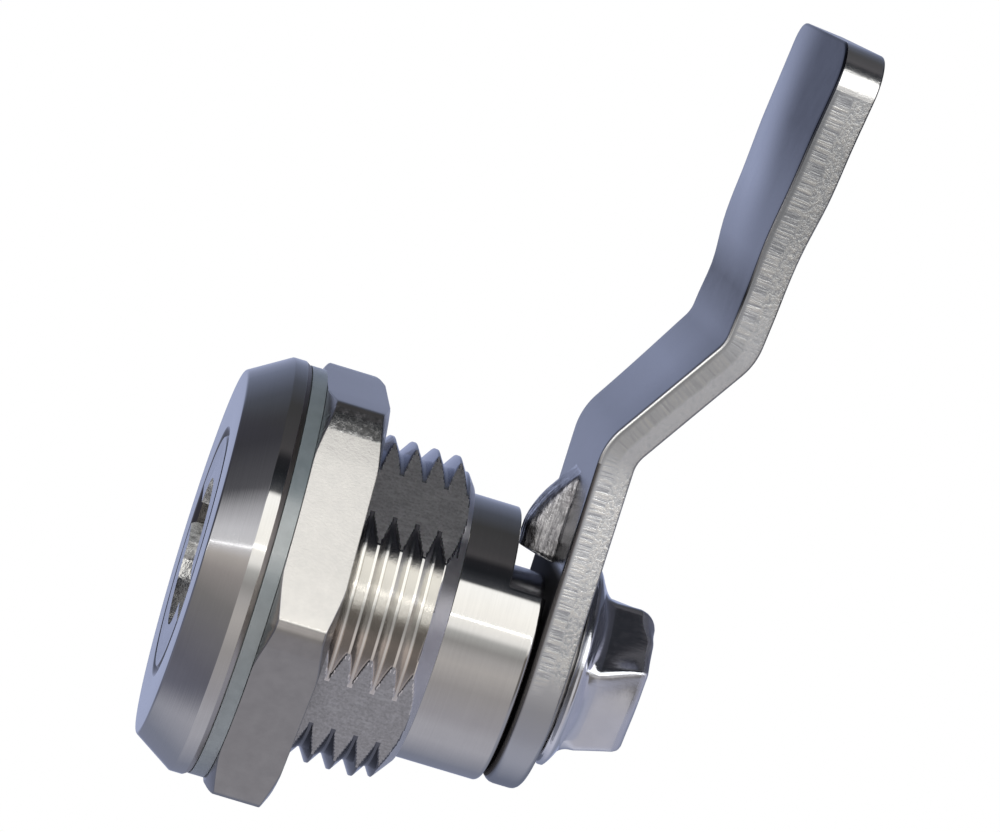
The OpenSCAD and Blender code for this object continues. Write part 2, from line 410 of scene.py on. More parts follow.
def build_screw():
    """Cold-formed screw: uneven dished flange, tapered soft hexagon and a domed crown."""
    flange_y = washer_rear + 0.02
    hollow_start = 1.15
    hollow_end = 2.0
    edge_ease = 0.14
    crown_ease = 0.16

    def hex_at(a, up):
        """Radius of the hexagon at a height over the flange. Its lower side tapers most."""
        under = max(0, -math.sin(a)) ** 2
        over = max(0, math.sin(a)) ** 2
        across = hex_across + 0.16 + 0.7 * under - 0.16 * over - 2 * (0.03 + 0.23 * under) * (up - 1.4)
        # The near corner leans up towards the crown.
        around = (a + math.pi) % TAU - math.pi
        lean = 0.065 * max(up - 1.6, 0) * math.exp(-(around / 0.4) ** 2)
        return hexagon_r(a, across, hex_turn + 0.022 * (up - 1.4) + lean, 44)

    def dome_drop(a, r):
        """How far the crown has fallen at a radius: nearly flat, then a round that is fuller on top."""
        fillet = 0.5 + 1.0 * soft_step(0.62, 0.86, math.sin(a)) + 0.3 * max(-math.sin(a), 0)
        edge = hex_at(a, crown_y - flange_y - fillet)
        over = min(max((r - edge + fillet * 1.05) / (fillet * 1.05), 0), 1)
        return 0.06 * (r / edge) ** 2 + fillet * (1 - math.sqrt(1 - (0.98 * over) ** 2))

    def cone(up):
        return flange_r - 0.02 - max(up - 0.55, 0) ** 1.25 * 1.9

    def flange_row(up):
        def row(a):
            wave = 0.04 * math.sin(3 * a + 0.6) + 0.02 * math.sin(8 * a)
            return cone(up) + wave - 0.12 * max(0.3 - up, 0) / 0.15, flange_y + up
        return row

    def foot_row(k):
        """Hollow that joins the cone to the hexagon."""
        def row(a):
            start = cone(hollow_start)
            end = hex_at(a, hollow_end)
            r = bow(start, min(end + 0.06, start), end, k / 6)
            return r, flange_y + bow(hollow_start, 1.55, hollow_end, k / 6)
        return row

    def edge_of(a):
        """Height and radius where the side of the hexagon meets the crown."""
        up = crown_y - flange_y - 0.8
        for _ in range(6):
            up = crown_y - flange_y - dome_drop(a, hex_at(a, up))
        return hex_at(a, up), up

    def side_row(share):
        def row(a):
            at = hollow_end + (edge_of(a)[1] - edge_ease - hollow_end) * share
            return hex_at(a, at), flange_y + at
        return row

    def edge_row(t):
        def row(a):
            r, up = edge_of(a)
            inner = r - crown_ease
            top = crown_y - flange_y - dome_drop(a, inner)
            return bow(hex_at(a, up - edge_ease), r, inner, t), flange_y + bow(up - edge_ease, up, top, t)
        return row

    def crown_row(share):
        def row(a):
            r = (edge_of(a)[0] - crown_ease) * share
            return r, crown_y - dome_drop(a, r)
        return row

    shank = rounded([
        (0, screw_tip, 0),
        (shank_r - 0.6, screw_tip, 0.1),
        (shank_r, screw_tip + 0.6, 0.1),
        (shank_r, flange_y, 0),
        (flange_r - 0.35, flange_y + 0.02, 0.05),
        (flange_r - 0.18, flange_y + 0.08, 0)])
    rows = plain_rows(shank)
    rows += [flange_row(u) for u in (0.15, 0.3, 0.42, 0.55, 0.66, 0.77, 0.88, 1.0)]
    rows += [foot_row(k) for k in range(7)]
    rows += [side_row(k / 5) for k in range(1, 6)]
    rows += [edge_row(k / 5) for k in range(1, 6)]
    rows += [crown_row(s) for s in (0.97, 0.93, 0.88, 0.82, 0.75, 0.67, 0.58, 0.48, 0.3, 0)]
    return turned_skin("screw_body", rows, even_angles(240), sharp=50)


# Turning insert

def build_insert():
    front = head_front
    ring_y = insert_seat - 2.2
    gland_r = insert_r - 1.22
    outline = rounded([
        (0, front, 0),
        (insert_r - edge_chamfer, front, 0.08),
        (insert_r, front + edge_chamfer, 0.05),
        (insert_r, ring_y - 0.65, 0),
        (gland_r, ring_y - 0.65, 0),
        (gland_r, ring_y + 0.65, 0),
        (insert_r, ring_y + 0.65, 0),
        (insert_r, insert_seat - 0.25, 0),
        (insert_r - 0.2, insert_seat - 0.05, 0),
        (shaft_r, insert_seat - 0.05, 0),
        (shaft_r, neck_end + 0.4, 0)])

    rows = plain_rows(outline)
    for y in (neck_end + 0.4, square_end):
        rows.append(lambda a, y=y: (min(square_r(a, square_across, -arm_turn), shaft_r), y))
    hole_r = shank_r + 0.07
    hole_floor = screw_tip - 0.8
    rows += plain_rows([
        (3.3, square_end), (hole_r, square_end - 0.4), (hole_r, hole_floor), (0, hole_floor)])
    body = turned_skin("insert_body", rows, even_angles(192), sharp=28)
    cut_out(body, pocket_cutter())
    cut_out(body, slot_cutter())
    body.data.shade_smooth()
    body.data.set_sharp_from_angle(angle=math.radians(28))
    return body


def pocket_cutter():
    outline = rounded([
        (0, head_front - 1, 0),
        (pocket_r + 0.25, head_front - 1, 0),
        (pocket_r + 0.12, head_front, 0.1),
        (pocket_r - 0.1, pocket_floor - 0.3, 0.3),
        (0, pocket_floor, 0)])
    return turned_skin("pocket_cutter", plain_rows(outline), even_angles(96))


def slot_cutter():
    """Slot for the edge of a coin, right across the insert, with a slight draft."""
    bm = bmesh.new()
    reach = insert_r + 1
    half_front = slot_across / 2 + 0.12
    half_floor = slot_across / 2 - 0.1
    section = [(-half_front, head_front - 1), (half_front, head_front - 1),
               (half_floor, slot_floor), (-half_floor, slot_floor)]
    turn = Matrix.Rotation(slot_turn, 3, "Y")
    ends = []
    for x in (-reach, reach):
        ends.append([bm.verts.new(turn @ Vector((x, y, z)) * MM) for z, y in section])
    bm.faces.new(ends[0])
    bm.faces.new(ends[1])
    for i in range(4):
        j = (i + 1) % 4
        bm.faces.new((ends[0][i], ends[0][j], ends[1][j], ends[1][i]))
    return finish_mesh(bm, "slot_cutter")


# Bent arm, drawn as a flat blank and then bent

centre_1 = (arm_front + arm_thick + bend_in, bend_1)
mid_run = (bend_2 - bend_1 - (bend_out + bend_in) * math.sin(lean_mid)
           + bend_in * math.sin(lean_top)) / math.cos(lean_mid)
arc_1 = bend_out * lean_mid
arc_2 = bend_in * (lean_mid - lean_top)
mid_start = (centre_1[0] - bend_out * math.cos(lean_mid), centre_1[1] + bend_out * math.sin(lean_mid))
mid_end = (mid_start[0] + mid_run * math.sin(lean_mid), mid_start[1] + mid_run * math.cos(lean_mid))
centre_2 = (mid_end[0] - bend_in * math.cos(lean_mid), mid_end[1] + bend_in * math.sin(lean_mid))
top_start = (centre_2[0] + bend_in * math.cos(lean_top), centre_2[1] - bend_in * math.sin(lean_top))
blank_length = bend_1 + arc_1 + mid_run + arc_2 + (arm_tip - top_start[1]) / math.cos(lean_top)


def bent(s, depth):
    """(y, z) of the blank's point at length s and depth behind its front face."""
    if s <= bend_1:
        return arm_front + depth, s
    s -= bend_1
    if s <= arc_1:
        a = s / bend_out
        r = bend_out - depth
        return centre_1[0] - r * math.cos(a), centre_1[1] + r * math.sin(a)
    s -= arc_1
    if s <= mid_run:
        return (mid_start[0] + s * math.sin(lean_mid) + depth * math.cos(lean_mid),
                mid_start[1] + s * math.cos(lean_mid) - depth * math.sin(lean_mid))
    s -= mid_run
    if s <= arc_2:
        a = lean_mid - s / bend_in
        r = bend_in + depth
        return centre_2[0] + r * math.cos(a), centre_2[1] - r * math.sin(a)
    s -= arc_2
    return (top_start[0] + s * math.sin(lean_top) + depth * math.cos(lean_top),
            top_start[1] + s * math.cos(lean_top) - depth * math.sin(lean_top))


def half_width(s, side):
    """Half width of the blank on one side: round at the foot, straight, rounded at the tip corner."""
    if s < 0:
        return math.sqrt(max(arm_half ** 2 - s ** 2, 0))
    left = blank_length - s
    tip_round = tip_round_near if side > 0 else tip_round_far
    if left < tip_round:
        return arm_half - tip_round + math.sqrt(max(tip_round ** 2 - (tip_round - left) ** 2, 0))
    return arm_half


def blank_lengths():
    """Lengths at which the blank is cut into strips, close together where it curves."""
    out = [-arm_half * math.cos(math.pi / 2 * k / 30) for k in range(31)]
    marks = [0, lug_low - 0.1, lug_low + 0.5, lug_high + 0.4, bend_1, bend_1 + arc_1,
             bend_1 + arc_1 + mid_run, bend_1 + arc_1 + mid_run + arc_2, blank_length - tip_round_near]
    for start, end, count in zip(marks, marks[1:], (12, 15, 40, 6, 14, 12, 12, 24)):
        out += [start + (end - start) * k / count for k in range(1, count + 1)]
    out += [blank_length - tip_round_near * (1 - math.sin(math.pi / 2 * k / 14)) for k in range(1, 15)]
    return out


def lug_push(x, s):
    """How far the stop lug is pressed forward at a point of the blank."""
    across = abs(x)
    if across > lug_half + 0.3 or not lug_low - 0.1 < s < lug_high + 0.4:
        return 0.0
    # Side outline: nearly flat over the lower part, then rounding back into the plate.
    rise = min(max((s - lug_low) / 0.42, 0), 1) ** 0.6
    up = max(s - lug_low - 1.6, 0) / (lug_high - lug_low - 1.6)
    run = max(1 - up ** 1.75, 0)
    full = lug_reach * rise * run
    # Cross-section: a sheared wall, then a full round over the front edge.
    wall = soft_step(lug_half + 0.12, lug_half - 0.1, across) * 0.42
    shoulder = min(max((lug_half - across) / 1.25, 0), 1)
    round_over = 0.58 * math.sqrt(1 - (1 - shoulder) ** 2)
    scars = 0.02 * math.sin(across * 23 + s * 1.3) + 0.015 * math.sin(across * 41 + 2 - s * 0.8)
    return full * (wall + round_over) + scars * min(full, 1)


def lug_dent(x, s):
    """Depth of the punch mark behind the lug."""
    across = abs(x) / (lug_half - 0.2)
    if across > 1 or s < lug_low + 0.6 or s > lug_high - 0.8:
        return 0.0
    side = min((1 - across) / 0.14, 1)
    foot = min((s - lug_low - 0.6) / 0.2, 1)
    run = min((lug_high - 0.8 - s) / 2.8, 1)
    return 1.35 * side * foot * run


def face_columns():
    """Shares of the half width, close together where the lug and its walls lie."""
    outer = [0.4, 0.46, 0.54, 0.62, 0.7, 0.78, 0.86, 0.93, 1]
    inner = [-0.36 + 0.72 * k / 56 for k in range(57)]
    return [-share for share in outer[::-1]] + inner + outer


def build_arm():
    """Arm plate: rolled front edges, sheared sides, pressed stop lug and its punch mark."""
    bm = bmesh.new()
    sheet = bm.loops.layers.uv.new("blank")
    turn = Matrix.Rotation(arm_turn, 3, "Y")
    spots = {}
    columns = face_columns()

    def edge_point(s, inset, side):
        """Point of the outline at length s on one side, moved inwards by inset."""
        w = half_width(s, side)
        d = 1e-3
        low, high = max(s - d, -arm_half), min(s + d, blank_length)
        slope = (half_width(high, side) - half_width(low, side)) / (high - low)
        slope = max(min(slope, 60), -60)
        long = math.hypot(1, slope)
        if s <= -arm_half + 1e-6:
            return 0.0, s + inset
        if s >= blank_length - 1e-6:
            return side * (arm_half - (tip_round_near if side > 0 else tip_round_far)), s - inset
        return side * (w - inset / long), s + inset * slope / long

    def add(x, s, depth):
        """Vertex of the blank after both bends; the far side bends later, so the plate is a little skew."""
        y, z = bent(s, depth * (1 + 0.15 * soft_step(29, 37, s)))
        far = (arm_half - x) / (2 * arm_half)
        y -= skew * far * soft_step(15, 33, z)
        y += far * (0.3 * math.exp(-((z - 27.5) / 2.2) ** 2) - 0.13 * soft_step(33, 38, z))
        y -= (1 - far) * (0.16 * math.exp(-((z - 31) / 3) ** 2) - 0.15 * soft_step(37, 43, z))
        v = bm.verts.new(turn @ Vector((x, y, z)) * MM)
        spots[v] = (x, s, depth)
        return v

    def across(s, inset, depth, shape):
        left, left_s = edge_point(s, inset, -1)
        right, right_s = edge_point(s, inset, 1)
        row = []
        for share in columns:
            t = (share + 1) / 2
            x = left + (right - left) * t
            at = left_s + (right_s - left_s) * t
            row.append((x, at, depth + shape(x, at)))
        return row

    def rounds_at(s):
        """(inset, depth) from the front face over the rolled edge and the cut side to the rear face."""
        foot = soft_step(-3, -arm_half, s) if s < -3 else 0
        front_round = 0.36 - 0.16 * soft_step(9, 14, s) + 0.4 * foot
        rear_round = 0.14 + 0.4 * foot
        out = []
        for k in range(6):
            a = math.pi / 2 * k / 5
            out.append((front_round * (1 - math.sin(a)), front_round * (1 - math.cos(a))))
        for k in range(1, 8):
            out.append((0.0, front_round + (arm_thick - front_round - rear_round) * k / 7))
        for k in range(1, 5):
            a = math.pi / 2 * k / 4
            out.append((rear_round * (1 - math.cos(a)), arm_thick - rear_round * (1 - math.sin(a))))
        return out

    def strip(s):
        """Closed ring round the blank: front face, near edge, rear face, far edge."""
        rounds = rounds_at(s)
        front = across(s, rounds[0][0], 0.0, lambda x, at: -lug_push(x, at))
        near = [(*edge_point(s, inset, 1), depth) for inset, depth in rounds[1:-1]]
        rear = across(s, rounds[-1][0], arm_thick, lambda x, at: -lug_dent(x, at))[::-1]
        far = [(*edge_point(s, inset, -1), depth) for inset, depth in rounds[1:-1]][::-1]
        return [add(*point) for point in front + near + rear + far]

    strips = [strip(s) for s in blank_lengths()]
    for low, high in zip(strips, strips[1:]):
        for i in range(len(low)):
            j = (i + 1) % len(low)
            bm.faces.new((low[i], low[j], high[j], high[i]))
    # The foot closes on itself; the tip edge is closed by rows from the far to the near corner.
    n = len(columns)
    m = len(rounds_at(0)) - 2
    last = strips[-1]
    front, near = last[:n], last[n:n + m]
    rear, far = last[n + m:2 * n + m][::-1], last[2 * n + m:][::-1]
    layers = [front]
    for k in range(m):
        start, end = spots[far[k]], spots[near[k]]
        row = [far[k]]
        for share in columns[1:-1]:
            t = (share + 1) / 2
            row.append(add(start[0] + (end[0] - start[0]) * t, end[1], end[2]))
        row.append(near[k])
        layers.append(row)
    layers.append(rear)
    for a, b in zip(layers, layers[1:]):
        for i in range(n - 1):
            bm.faces.new((a[i], a[i + 1], b[i + 1], b[i]))
    for face in bm.faces:
        for loop in face.loops:
            x, s, depth = spots[loop.vert]
            loop[sheet].uv = (s, depth)
    arm = finish_mesh(bm, "arm_plate", sharp=38)
    cut_out(arm, square_hole_cutter())
    return arm


def square_hole_cutter():
    bm = bmesh.new()
    bmesh.ops.create_cube(bm, size=1)
    side = square_across + 0.12
    turn = Matrix.Rotation(arm_turn, 4, "Y")
    shape = Matrix.Translation((0, (arm_front + arm_thick / 2) * MM, 0)) @ turn
    shape = shape @ Matrix.Diagonal((side * MM, 6 * MM, side * MM, 1))
    bmesh.ops.transform(bm, matrix=shape, verts=bm.verts)
    return finish_mesh(bm, "square_hole_cutter")


# Shader groups

class Wires:
    """Adds and joins shader nodes in one tree."""

    def __init__(self, tree):
        self.tree = tree

    def add(self, kind, settings=None, **inputs):
        node = self.tree.nodes.new(kind)
        for key, value in (settings or {}).items():
            setattr(node, key, value)
        for key, value in inputs.items():
            self.put(node, key.replace("_", " "), value)
        return node

    def put(self, node, key, value):
        socket = node.inputs[int(key) if key.isdigit() else key]
        if isinstance(value, bpy.types.NodeSocket):
            self.tree.links.new(value, socket)
        else:
            socket.default_value = value

    def math(self, kind, *values):
        node = self.add("ShaderNodeMath", {"operation": kind})
        for i, value in enumerate(values):
            self.put(node, str(i), value)
        return node.outputs[0]

    def ramp(self, fac, stops):
        """Colour ramp through (place, colour) stops."""
        node = self.tree.nodes.new("ShaderNodeValToRGB")
        while len(node.color_ramp.elements) < len(stops):
            node.color_ramp.elements.new(0.5)
        for element, (at, colour) in zip(node.color_ramp.elements, stops):
            element.position = at
            element.color = (*colour, 1)
        self.put(node, "0", fac)
        return node.outputs[0]

    def mix(self, fac, a, b):
        """Colour between two colours or colour maps."""
        node = self.add("ShaderNodeMix", {"data_type": "RGBA"})
        for key, value in (("0", fac), ("6", a), ("7", b)):
            self.put(node, key, (*value, 1) if isinstance(value, tuple) else value)
        return node.outputs[2]

    def blend(self, fac, a, b):
        """Number between two numbers or maps."""
        node = self.add("ShaderNodeMix")
        for key, value in (("0", fac), ("2", a), ("3", b)):
            self.put(node, key, value)
        return node.outputs[0]

    def spread(self, value, start, end, low=0.0, high=1.0, soft=False):
        """Goes from low to high while the value goes from start to end."""
        node = self.add("ShaderNodeMapRange", {"interpolation_type": "SMOOTHSTEP" if soft else "LINEAR"})
        limits = {"Value": value, "From Min": start, "From Max": end, "To Min": low, "To Max": high}
        for key, number in limits.items():
            self.put(node, key, number)
        return node.outputs[0]

    def noise(self, place, scale, detail, rough, fourth=None):
        node = self.add("ShaderNodeTexNoise", None, Vector=place, Scale=scale, Detail=detail,
                        Roughness=rough)
        if fourth is not None:
            node.noise_dimensions = "4D"
            self.put(node, "W", fourth)
        return node.outputs[0]

    def axes(self, vector):
        return self.add("ShaderNodeSeparateXYZ", None, Vector=vector).outputs

    def vector(self, x, y, z=0.0):
        return self.add("ShaderNodeCombineXYZ", None, X=x, Y=y, Z=z).outputs[0]

    def off_axis(self, x, z):
        """Distance from the barrel axis."""
        return self.math("SQRT", self.math("ADD", self.math("MULTIPLY", x, x), self.math("MULTIPLY", z, z)))

    def turn_at(self, x, z):
        """Share of a full turn about the barrel axis, 0.5 on the +X side."""
        flat = self.vector(x, z)
        return self.add("ShaderNodeTexGradient", {"gradient_type": "RADIAL"}, Vector=flat).outputs["Fac"]

    def by_height(self, place, stops):
        """Colour ramp over the height. Stops are (millimetres above the barrel axis, colour)."""
        span = 32
        share = self.math("MULTIPLY_ADD", self.axes(place)[2], 1 / span, 0.5)
        return self.ramp(share, [(0.5 + z / span, colour) for z, colour in stops])

    def by_length(self, s, stops):
        """Colour ramp along the arm's blank. Stops are (millimetres from the square hole, colour)."""
        span, before = 60, 10
        share = self.math("MULTIPLY_ADD", s, 1 / span, before / span)
        return self.ramp(share, [((at + before) / span, colour) for at, colour in stops])


def greys(stops):
    """Stops of a colour ramp, given as (place, brightness)."""
    return [(at, (v, v, v)) for at, v in stops]


def new_group(name, inputs, outputs):
    """A shader group, its wires, and the sockets inside it."""
    group = bpy.data.node_groups.new(name, "ShaderNodeTree")
    for label, kind, value in inputs:
        socket = group.interface.new_socket(label, in_out="INPUT", socket_type=kind)
        if value is not None:
            socket.default_value = value
    for label in outputs:
        group.interface.new_socket(label, in_out="OUTPUT", socket_type="NodeSocketFloat")
    w = Wires(group)
    return group, w, w.add("NodeGroupInput").outputs, w.add("NodeGroupOutput")


def turning_marks_group():
    """Rings left by the lathe, from the distance to the barrel axis and the place along it."""
    group, w, inside, outside = new_group("turning_marks", [
        ("Place", "NodeSocketVector", None), ("Lines per mm", "NodeSocketFloat", 14.0)], ["Height", "Bands"])
    x, y, z = w.axes(inside["Place"])
    radius = w.off_axis(x, z)
    across, up = w.math("DIVIDE", x, radius), w.math("DIVIDE", z, radius)
    fine, coarse = (inside["Lines per mm"], 2.0, 0.6), (1.6, 3.0, 0.5)
    for label, (lines, detail, rough) in (("Height", fine), ("Bands", coarse)):
        at = w.vector(w.math("MULTIPLY", radius, lines), w.math("MULTIPLY", y, lines), across)
        w.put(outside, label, w.noise(at, 1.0, detail, rough, up))
    return group


def metal_grain_group():
    """Speckle of cast or blasted metal, with a slower mottling."""
    group, w, inside, outside = new_group("metal_grain", [
        ("Place", "NodeSocketVector", None), ("Grains per mm", "NodeSocketFloat", 5.0)], ["Height", "Mottle"])
    place, grains = inside["Place"], inside["Grains per mm"]
    w.put(outside, "Height", w.noise(place, grains, 4.0, 0.65))
    w.put(outside, "Mottle", w.noise(place, w.math("MULTIPLY", grains, 0.16), 3.0, 0.55))
    return group


def drawn_lines_group():
    """Straight scratches along one direction, stretched by the Run input."""
    group, w, inside, outside = new_group("drawn_lines", [
        ("Place", "NodeSocketVector", None), ("Run", "NodeSocketVector", (1, 1, 1))], ["Height", "Scratches"])
    scaled = w.add("ShaderNodeVectorMath", {"operation": "MULTIPLY"})
    w.put(scaled, "0", inside["Place"])
    w.put(scaled, "1", inside["Run"])
    w.put(outside, "Height", w.noise(scaled.outputs[0], 1.0, 3.0, 0.6))
    w.put(outside, "Scratches", w.spread(w.noise(scaled.outputs[0], 0.45, 2.0, 0.5), 0.6, 0.72))
    return group


def face_groove_group():
    """Where the head lies, and painted shade in the ring groove between the housing and the insert."""
    group, w, inside, outside = new_group("face_groove", [
        ("Place", "NodeSocketVector", None)], ["Dirt", "Head"])
    x, y, z = w.axes(inside["Place"])
    off = w.math("ABSOLUTE", w.math("SUBTRACT", w.off_axis(x, z), insert_r))
    near = w.spread(off, edge_chamfer + 0.06, edge_chamfer - 0.04)
    deep = w.math("GREATER_THAN", y, head_front + 0.015)
    # Painted shade: a dark ring over the chamfers either side of the groove between housing and insert.
    w.put(outside, "Dirt", w.math("MULTIPLY", near, w.math("MULTIPLY", deep, 0.85)))
    w.put(outside, "Head", w.math("LESS_THAN", y, -0.3))
    return group


turning_marks = turning_marks_group()
face_groove = face_groove_group()
metal_grain = metal_grain_group()
drawn_lines = drawn_lines_group()


# Finishes

def new_finish(name, metallic=1.0):
    """A material with its shader and the place on the piece in millimetres."""
    mat = bpy.data.materials.new(name)
    mat.use_nodes = True
    w = Wires(mat.node_tree)
    shader = mat.node_tree.nodes["Principled BSDF"]
    shader.inputs["Metallic"].default_value = metallic
    metres = w.add("ShaderNodeTexCoord").outputs["Object"]
    place = w.add("ShaderNodeVectorMath", {"operation": "SCALE"}, Vector=metres, Scale=1000.0)
    return mat, w, shader, place.outputs[0]


def use_group(w, group, **inputs):
    """Places a shader group and gives its outputs."""
    return w.add("ShaderNodeGroup", {"node_tree": group}, **inputs).outputs


def bump(w, shader, *layers):
    """Bumps laid on each other. A layer is a height map and its depth in millimetres."""
    normal = None
    for height, depth in layers:
        node = w.add("ShaderNodeBump", None, Height=height, Strength=1.0, Distance=depth * MM)
        if normal is not None:
            w.put(node, "Normal", normal)
        normal = node.outputs[0]
    w.put(shader, "Normal", normal)


def turned_steel(name, dark, light, rough_low, rough_high, head_extra=0.0, depth=0.004):
    """Bright turned steel: ring marks, worn bands, and painted shade in the ring groove of the face."""
    mat, w, shader, place = new_finish(name)
    marks = use_group(w, turning_marks, Place=place)
    grain = use_group(w, metal_grain, Place=place, Grains_per_mm=3.0)
    groove = use_group(w, face_groove, Place=place)
    tone = w.math("MULTIPLY_ADD", marks["Height"], 0.5, w.math("MULTIPLY", grain["Mottle"], 0.5))
    clean = w.ramp(tone, [(0.35, dark), (0.65, light)])
    # Painted shade darkens the ring groove between the housing and the insert.
    w.put(shader, "Base Color", w.mix(groove["Dirt"], clean, (0.10, 0.09, 0.085)))
    wear = w.math("MULTIPLY_ADD", marks["Bands"], 0.6, w.math("MULTIPLY", grain["Mottle"], 0.4))
    rough = w.spread(wear, 0.35, 0.65, rough_low, rough_high)
    w.put(shader, "Roughness", w.math("MULTIPLY_ADD", groove["Head"], head_extra, rough))
    bump(w, shader, (marks["Height"], depth))
    return mat


def cast_recess_steel():
    """Recess walls: coarse as cast above, rubbed smooth on the lower half."""
    mat, w, shader, place = new_finish("cast_recess_steel")
    grain = use_group(w, metal_grain, Place=place, Grains_per_mm=1.8)
    wavy = w.math("MULTIPLY_ADD", grain["Mottle"], 1.4, w.axes(place)[2])
    coarse = w.spread(wavy, -0.1, 0.35, soft=True)
    base = w.ramp(grain["Height"], [
        (0.36, (0.42, 0.415, 0.40)), (0.5, (0.72, 0.72, 0.70)), (0.62, (0.92, 0.92, 0.90))])
    w.put(shader, "Base Color", w.mix(coarse, (0.6, 0.6, 0.6), base))
    w.put(shader, "Metallic", w.math("MULTIPLY_ADD", coarse, -0.22, 1.0))
    w.put(shader, "Roughness", w.math("MULTIPLY_ADD", coarse, 0.5, 0.12))
    bump(w, shader, (w.math("MULTIPLY", grain["Height"], w.math("MULTIPLY_ADD", coarse, 0.9, 0.1)), 0.25))
    return mat


def milled_steel():
    """Flats of the barrel: matt, with a fine ripple along the barrel, and painted shade darkening the lower
    flats.
    """
    mat, w, shader, place = new_finish("milled_flat_steel")
    ripple = use_group(w, drawn_lines, Place=place, Run=(4.5, 1.5, 4.5))
    grain = use_group(w, metal_grain, Place=place, Grains_per_mm=5.0)
    tone = w.math("MULTIPLY_ADD", ripple["Height"], 0.3, w.math("MULTIPLY", grain["Height"], 0.7))
    base = w.ramp(tone, [(0.38, (0.68, 0.675, 0.675)), (0.62, (1.0, 0.99, 1.0))])
    base = w.mix(ripple["Scratches"], base, (1, 1, 1))
    # Painted shade: the flats below the axis get about half the brightness of the upper ones.
    lower_flats_shade = w.by_height(place, greys([(-0.64, 0.55), (0.64, 1.0)]))
    w.put(shader, "Base Color", w.mix(lower_flats_shade, (0, 0, 0), base))
    w.put(shader, "Roughness", w.math("MULTIPLY_ADD", grain["Mottle"], 0.2, 0.3))
    bump(w, shader, (ripple["Height"], 0.014), (grain["Height"], 0.03))
    return mat


def satin_nut_steel():
    """Nut: satin faces with painted shade by height; where each upper face falls off beside its corner it has
    pits and a speckled colour that is a painted dark reflection.
    """
    mat, w, shader, place = new_finish("satin_nut_steel")
    grain = use_group(w, metal_grain, Place=place, Grains_per_mm=6.0)
    pits = use_group(w, metal_grain, Place=place, Grains_per_mm=2.4)
    x, y, z = w.axes(place)
    turns = w.math("MULTIPLY_ADD", w.turn_at(x, z), 6.0, 3.0 - nut_turn * 6 / TAU)
    along = w.math("MULTIPLY_ADD", pits["Height"], 0.03, w.math("FRACT", turns))
    # Pits and painted reflection: past the crease of each upper face the colour turns speckled to stand in
    # for a dark reflection; the same mask carries the pit bumps.
    pits_and_painted_reflection = w.math("GREATER_THAN", along, nut_crease * 6 / TAU + 0.012)
    pits_and_painted_reflection = w.math("MULTIPLY", pits_and_painted_reflection, w.math("GREATER_THAN", z, 8.0))
    mottled = w.ramp(grain["Mottle"], [(0.3, (0.60, 0.588, 0.58)), (0.7, (0.68, 0.667, 0.655))])
    # Painted shade: the nut darkens below 2.3 mm under the axis and a little towards its top.
    tone = w.by_height(place, greys([
        (-2.432, 0.62), (-2.24, 0.93), (5.12, 1.0), (9.92, 1.0), (11.52, 0.88)]))
    plain = w.mix(tone, (0, 0, 0), mottled)
    # Speckled colour of the pits, which also serves as the painted dark reflection.
    pit_skin_and_painted_reflection = w.ramp(pits["Height"], greys([(0.4, 0.42), (0.56, 0.68), (0.66, 0.95)]))
    w.put(shader, "Base Color", w.mix(pits_and_painted_reflection, plain, pit_skin_and_painted_reflection))
    w.put(shader, "Roughness", w.spread(grain["Mottle"], 0, 1, 0.16, 0.26))
    bump(w, shader, (grain["Height"], 0.004), (w.math("MULTIPLY", pits["Height"], pits_and_painted_reflection), 0.016))
    return mat


def arm_face_colour(w, grain, place, s, behind):
    """Faces of the arm: mottled, with painted light and shade along the length that is darkest at the upper
    bend, painted shade towards the near corner of the tip, and a painted shadow below the lug.
    """
    fresh = w.ramp(grain["Mottle"], [(0.3, (0.84, 0.855, 0.885)), (0.7, (0.93, 0.94, 0.96))])
    # Painted light and shade along the arm, nearly black at the upper bend.
    tone = w.by_length(s, greys([
        (14, 0.52), (17, 0.55), (21.8, 0.76), (26, 0.44), (28.7, 0.05), (31.4, 0.66), (35.6, 1.0),
        (41.6, 0.98), (47, 0.75)]))
    fresh = w.mix(tone, (0, 0, 0), fresh)
    # Painted shade towards the near side of the upper run, strongest near the tip.
    inward = w.spread(s, 24, 44, 4.5, -2.5, soft=True)
    beside = w.spread(w.math("SUBTRACT", w.axes(place)[0], inward), -2.5, 7.5, soft=True)
    upward = w.by_length(s, greys([(15, 0), (20, 0.3), (31, 0.4), (40, 1)]))
    clean = w.mix(w.math("MULTIPLY", beside, upward), fresh, (0.05, 0.055, 0.07))
    # Painted shadow: the front face below the lug is darkened almost to black.
    return w.mix(behind, clean, (0.04, 0.04, 0.045))


def arm_side_colour(w, side_marks, torn, marked, middle, s):
    """Sheared sides of the arm: a streaked band, a torn band behind it, a worn middle length, painted light
    and shade along the length and a painted highlight at the tip.
    """
    lined = w.ramp(side_marks, [(0.4, (0.58, 0.60, 0.65)), (0.49, (0.90, 0.93, 0.98)), (0.57, (1, 1, 1))])
    ragged = w.ramp(side_marks, [(0.38, (0.72, 0.75, 0.80)), (0.5, (0.95, 0.97, 1.0)), (0.6, (1, 1, 1))])
    worn = w.mix(torn, (0.30, 0.30, 0.305), (0.49, 0.50, 0.55))
    plain = w.mix(middle, (0.58, 0.60, 0.65), worn)
    cut = w.mix(w.math("MULTIPLY_ADD", marked, 0.8, 0.2), plain, w.mix(torn, lined, ragged))
    # Painted light and shade along the sheared sides, darker over the upper run.
    tone = w.by_length(s, greys([
        (-8.2, 0.82), (3.2, 0.78), (7.4, 0.97), (11.6, 1.0), (17, 1.0), (25.4, 1.0), (29.3, 0.62),
        (33.8, 0.52), (39.2, 0.53), (44, 0.72)]))
    cut = w.mix(tone, (0, 0, 0), cut)
    # Painted highlight: the last 3 mm of the sides at the tip are nearly white.
    return w.mix(w.math("GREATER_THAN", s, blank_length - 3.0), cut, (0.95, 0.95, 0.96))


